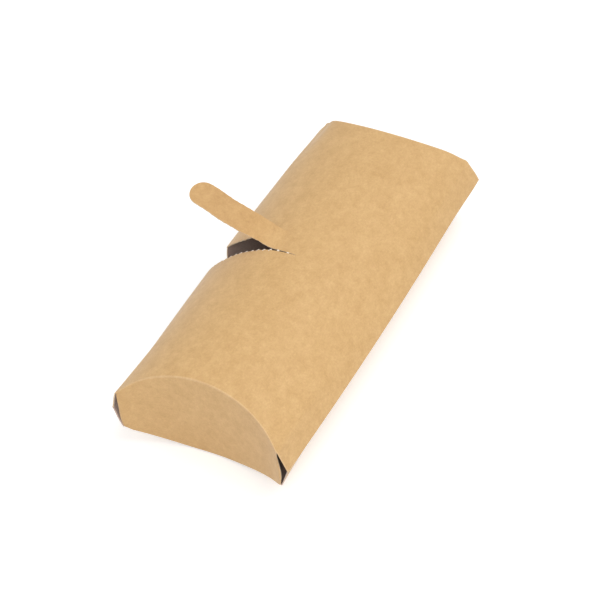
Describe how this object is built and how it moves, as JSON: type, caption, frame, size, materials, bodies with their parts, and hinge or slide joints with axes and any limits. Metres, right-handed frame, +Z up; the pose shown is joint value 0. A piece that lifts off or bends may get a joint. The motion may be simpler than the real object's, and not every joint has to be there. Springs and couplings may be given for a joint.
{
  "type": "tortilla box",
  "caption": "Kraft board pillow box for a rolled tortilla, with curved end flaps that fold open and a tear strip that peels up across the top.",
  "frame": {"origin": "middle of the base, on the flat strip that the box lies on", "axes": "+X along the box towards its rear end, +Y towards the side of the tear tab, +Z up"},
  "size_m": [0.2, 0.0993, 0.0734],
  "materials": {
    "kraft_board": "matte solid kraft board, brown outside and dark inside"
  },
  "bodies": {
    "box": {"top_panel_front": "kraft_board", "top_panel_rear": "kraft_board", "tear_strip_attached": "kraft_board", "bottom_panel": "kraft_board", "glue_flap": "kraft_board"},
    "front_outer_flap_centre": {"front_outer_flap_centre": "kraft_board"},
    "front_outer_flap_left_middle": {"front_outer_flap_left_middle": "kraft_board"},
    "front_outer_flap_left_edge": {"front_outer_flap_left_edge": "kraft_board"},
    "front_outer_flap_right_middle": {"front_outer_flap_right_middle": "kraft_board"},
    "front_outer_flap_right_edge": {"front_outer_flap_right_edge": "kraft_board"},
    "front_inner_flap_centre": {"front_inner_flap_centre": "kraft_board"},
    "front_inner_flap_left_middle": {"front_inner_flap_left_middle": "kraft_board"},
    "front_inner_flap_left_edge": {"front_inner_flap_left_edge": "kraft_board"},
    "front_inner_flap_right_middle": {"front_inner_flap_right_middle": "kraft_board"},
    "front_inner_flap_right_edge": {"front_inner_flap_right_edge": "kraft_board"},
    "rear_outer_flap_centre": {"rear_outer_flap_centre": "kraft_board"},
    "rear_outer_flap_left_middle": {"rear_outer_flap_left_middle": "kraft_board"},
    "rear_outer_flap_left_edge": {"rear_outer_flap_left_edge": "kraft_board"},
    "rear_outer_flap_right_middle": {"rear_outer_flap_right_middle": "kraft_board"},
    "rear_outer_flap_right_edge": {"rear_outer_flap_right_edge": "kraft_board"},
    "rear_inner_flap_centre": {"rear_inner_flap_centre": "kraft_board"},
    "rear_inner_flap_left_middle": {"rear_inner_flap_left_middle": "kraft_board"},
    "rear_inner_flap_left_edge": {"rear_inner_flap_left_edge": "kraft_board"},
    "rear_inner_flap_right_middle": {"rear_inner_flap_right_middle": "kraft_board"},
    "rear_inner_flap_right_edge": {"rear_inner_flap_right_edge": "kraft_board"},
    "tear_strip_torn_1": {"tear_strip_torn_1": "kraft_board"},
    "tear_strip_torn_2": {"tear_strip_torn_2": "kraft_board"},
    "tear_strip_torn_3": {"tear_strip_torn_3": "kraft_board"},
    "tear_strip_torn_4": {"tear_strip_torn_4": "kraft_board"},
    "tear_strip_torn_5": {"tear_strip_torn_5": "kraft_board"}
  },
  "joints": [
    {"name": "front_outer_flap_crease", "type": "hinge", "parent": "box", "child": "front_outer_flap_centre", "pos_m": [-0.0897, 0, 0.05008], "axis": [0, 1, 0], "range_deg": [0, 90]},
    {"name": "front_outer_flap_left_middle_fold", "type": "hinge", "parent": "front_outer_flap_centre", "child": "front_outer_flap_left_middle", "pos_m": [-0.08945, 0.00988, 0.0253], "axis": [0, 0, -1], "range_deg": [0, 27.9]},
    {"name": "front_outer_flap_left_edge_fold", "type": "hinge", "parent": "front_outer_flap_left_middle", "child": "front_outer_flap_left_edge", "pos_m": [-0.09347, 0.02806, 0.0253], "axis": [0, 0, -1], "range_deg": [0, 33.5]},
    {"name": "front_outer_flap_right_middle_fold", "type": "hinge", "parent": "front_outer_flap_centre", "child": "front_outer_flap_right_middle", "pos_m": [-0.08945, -0.00988, 0.0253], "axis": [0, 0, 1], "range_deg": [0, 27.9]},
    {"name": "front_outer_flap_right_edge_fold", "type": "hinge", "parent": "front_outer_flap_right_middle", "child": "front_outer_flap_right_edge", "pos_m": [-0.09347, -0.02806, 0.0253], "axis": [0, 0, 1], "range_deg": [0, 33.5]},
    {"name": "front_inner_flap_crease", "type": "hinge", "parent": "box", "child": "front_inner_flap_centre", "pos_m": [-0.0889, 0, 0.00051], "axis": [0, -1, 0], "range_deg": [0, 90]},
    {"name": "front_inner_flap_left_middle_fold", "type": "hinge", "parent": "front_inner_flap_centre", "child": "front_inner_flap_left_middle", "pos_m": [-0.08865, 0.00996, 0.0253], "axis": [0, 0, -1], "range_deg": [0, 27.9]},
    {"name": "front_inner_flap_left_edge_fold", "type": "hinge", "parent": "front_inner_flap_left_middle", "child": "front_inner_flap_left_edge", "pos_m": [-0.09271, 0.02833, 0.0253], "axis": [0, 0, -1], "range_deg": [0, 33.5]},
    {"name": "front_inner_flap_right_middle_fold", "type": "hinge", "parent": "front_inner_flap_centre", "child": "front_inner_flap_right_middle", "pos_m": [-0.08865, -0.00996, 0.0253], "axis": [0, 0, 1], "range_deg": [0, 27.9]},
    {"name": "front_inner_flap_right_edge_fold", "type": "hinge", "parent": "front_inner_flap_right_middle", "child": "front_inner_flap_right_edge", "pos_m": [-0.09271, -0.02833, 0.0253], "axis": [0, 0, 1], "range_deg": [0, 33.5]},
    {"name": "rear_outer_flap_crease", "type": "hinge", "parent": "box", "child": "rear_outer_flap_centre", "pos_m": [0.0897, 0, 0.05008], "axis": [0, -1, 0], "range_deg": [0, 90]},
    {"name": "rear_outer_flap_left_middle_fold", "type": "hinge", "parent": "rear_outer_flap_centre", "child": "rear_outer_flap_left_middle", "pos_m": [0.08945, 0.00988, 0.0253], "axis": [0, 0, 1], "range_deg": [0, 27.9]},
    {"name": "rear_outer_flap_left_edge_fold", "type": "hinge", "parent": "rear_outer_flap_left_middle", "child": "rear_outer_flap_left_edge", "pos_m": [0.09347, 0.02806, 0.0253], "axis": [0, 0, 1], "range_deg": [0, 33.5]},
    {"name": "rear_outer_flap_right_middle_fold", "type": "hinge", "parent": "rear_outer_flap_centre", "child": "rear_outer_flap_right_middle", "pos_m": [0.08945, -0.00988, 0.0253], "axis": [0, 0, -1], "range_deg": [0, 27.9]},
    {"name": "rear_outer_flap_right_edge_fold", "type": "hinge", "parent": "rear_outer_flap_right_middle", "child": "rear_outer_flap_right_edge", "pos_m": [0.09347, -0.02806, 0.0253], "axis": [0, 0, -1], "range_deg": [0, 33.5]},
    {"name": "rear_inner_flap_crease", "type": "hinge", "parent": "box", "child": "rear_inner_flap_centre", "pos_m": [0.0889, 0, 0.00051], "axis": [0, 1, 0], "range_deg": [0, 90]},
    {"name": "rear_inner_flap_left_middle_fold", "type": "hinge", "parent": "rear_inner_flap_centre", "child": "rear_inner_flap_left_middle", "pos_m": [0.08865, 0.00996, 0.0253], "axis": [0, 0, 1], "range_deg": [0, 27.9]},
    {"name": "rear_inner_flap_left_edge_fold", "type": "hinge", "parent": "rear_inner_flap_left_middle", "child": "rear_inner_flap_left_edge", "pos_m": [0.09271, 0.02833, 0.0253], "axis": [0, 0, 1], "range_deg": [0, 33.5]},
    {"name": "rear_inner_flap_right_middle_fold", "type": "hinge", "parent": "rear_inner_flap_centre", "child": "rear_inner_flap_right_middle", "pos_m": [0.08865, -0.00996, 0.0253], "axis": [0, 0, -1], "range_deg": [0, 27.9]},
    {"name": "rear_inner_flap_right_edge_fold", "type": "hinge", "parent": "rear_inner_flap_right_middle", "child": "rear_inner_flap_right_edge", "pos_m": [0.09271, -0.02833, 0.0253], "axis": [0, 0, -1], "range_deg": [0, 33.5]},
    {"name": "tear_strip_root", "type": "hinge", "parent": "box", "child": "tear_strip_torn_1", "pos_m": [0.0025, 0.00968, 0.04985], "axis": [1, 0, 0], "range_deg": [-25.75, 18]},
    {"name": "tear_strip_bend_1", "type": "hinge", "parent": "tear_strip_torn_1", "child": "tear_strip_torn_2", "pos_m": [0.00195, 0.01866, 0.05226], "axis": [1, 0, 0], "range_deg": [-33.4, 23.4]},
    {"name": "tear_strip_bend_2", "type": "hinge", "parent": "tear_strip_torn_2", "child": "tear_strip_torn_3", "pos_m": [0.00018, 0.02577, 0.05823], "axis": [1, 0, 0], "range_deg": [-8.9, 6.3]},
    {"name": "tear_strip_bend_3", "type": "hinge", "parent": "tear_strip_torn_3", "child": "tear_strip_torn_4", "pos_m": [-0.00153, 0.03309, 0.06395], "axis": [1, 0, 0], "range_deg": [-8, 5.7]},
    {"name": "tear_strip_bend_4", "type": "hinge", "parent": "tear_strip_torn_4", "child": "tear_strip_torn_5", "pos_m": [-0.002, 0.04163, 0.06868], "axis": [1, 0, 0], "range_deg": [-27.6, 19.3]}
  ],
  "couplings": [
    {"joint": "front_outer_flap_left_middle_fold", "follows": "front_outer_flap_crease", "ratio": 0.3086},
    {"joint": "front_outer_flap_left_edge_fold", "follows": "front_outer_flap_crease", "ratio": 0.3704},
    {"joint": "front_outer_flap_right_middle_fold", "follows": "front_outer_flap_crease", "ratio": 0.3086},
    {"joint": "front_outer_flap_right_edge_fold", "follows": "front_outer_flap_crease", "ratio": 0.3704},
    {"joint": "front_inner_flap_crease", "follows": "front_outer_flap_crease", "ratio": 1},
    {"joint": "front_inner_flap_left_middle_fold", "follows": "front_outer_flap_crease", "ratio": 0.3086},
    {"joint": "front_inner_flap_left_edge_fold", "follows": "front_outer_flap_crease", "ratio": 0.3704},
    {"joint": "front_inner_flap_right_middle_fold", "follows": "front_outer_flap_crease", "ratio": 0.3086},
    {"joint": "front_inner_flap_right_edge_fold", "follows": "front_outer_flap_crease", "ratio": 0.3704},
    {"joint": "rear_outer_flap_left_middle_fold", "follows": "rear_outer_flap_crease", "ratio": 0.3086},
    {"joint": "rear_outer_flap_left_edge_fold", "follows": "rear_outer_flap_crease", "ratio": 0.3704},
    {"joint": "rear_outer_flap_right_middle_fold", "follows": "rear_outer_flap_crease", "ratio": 0.3086},
    {"joint": "rear_outer_flap_right_edge_fold", "follows": "rear_outer_flap_crease", "ratio": 0.3704},
    {"joint": "rear_inner_flap_crease", "follows": "rear_outer_flap_crease", "ratio": 1},
    {"joint": "rear_inner_flap_left_middle_fold", "follows": "rear_outer_flap_crease", "ratio": 0.3086},
    {"joint": "rear_inner_flap_left_edge_fold", "follows": "rear_outer_flap_crease", "ratio": 0.3704},
    {"joint": "rear_inner_flap_right_middle_fold", "follows": "rear_outer_flap_crease", "ratio": 0.3086},
    {"joint": "rear_inner_flap_right_edge_fold", "follows": "rear_outer_flap_crease", "ratio": 0.3704},
    {"joint": "tear_strip_bend_1", "follows": "tear_strip_root", "ratio": 1.2902},
    {"joint": "tear_strip_bend_2", "follows": "tear_strip_root", "ratio": 0.3396},
    {"joint": "tear_strip_bend_3", "follows": "tear_strip_root", "ratio": 0.3061},
    {"joint": "tear_strip_bend_4", "follows": "tear_strip_root", "ratio": 1.0663}
  ]
}
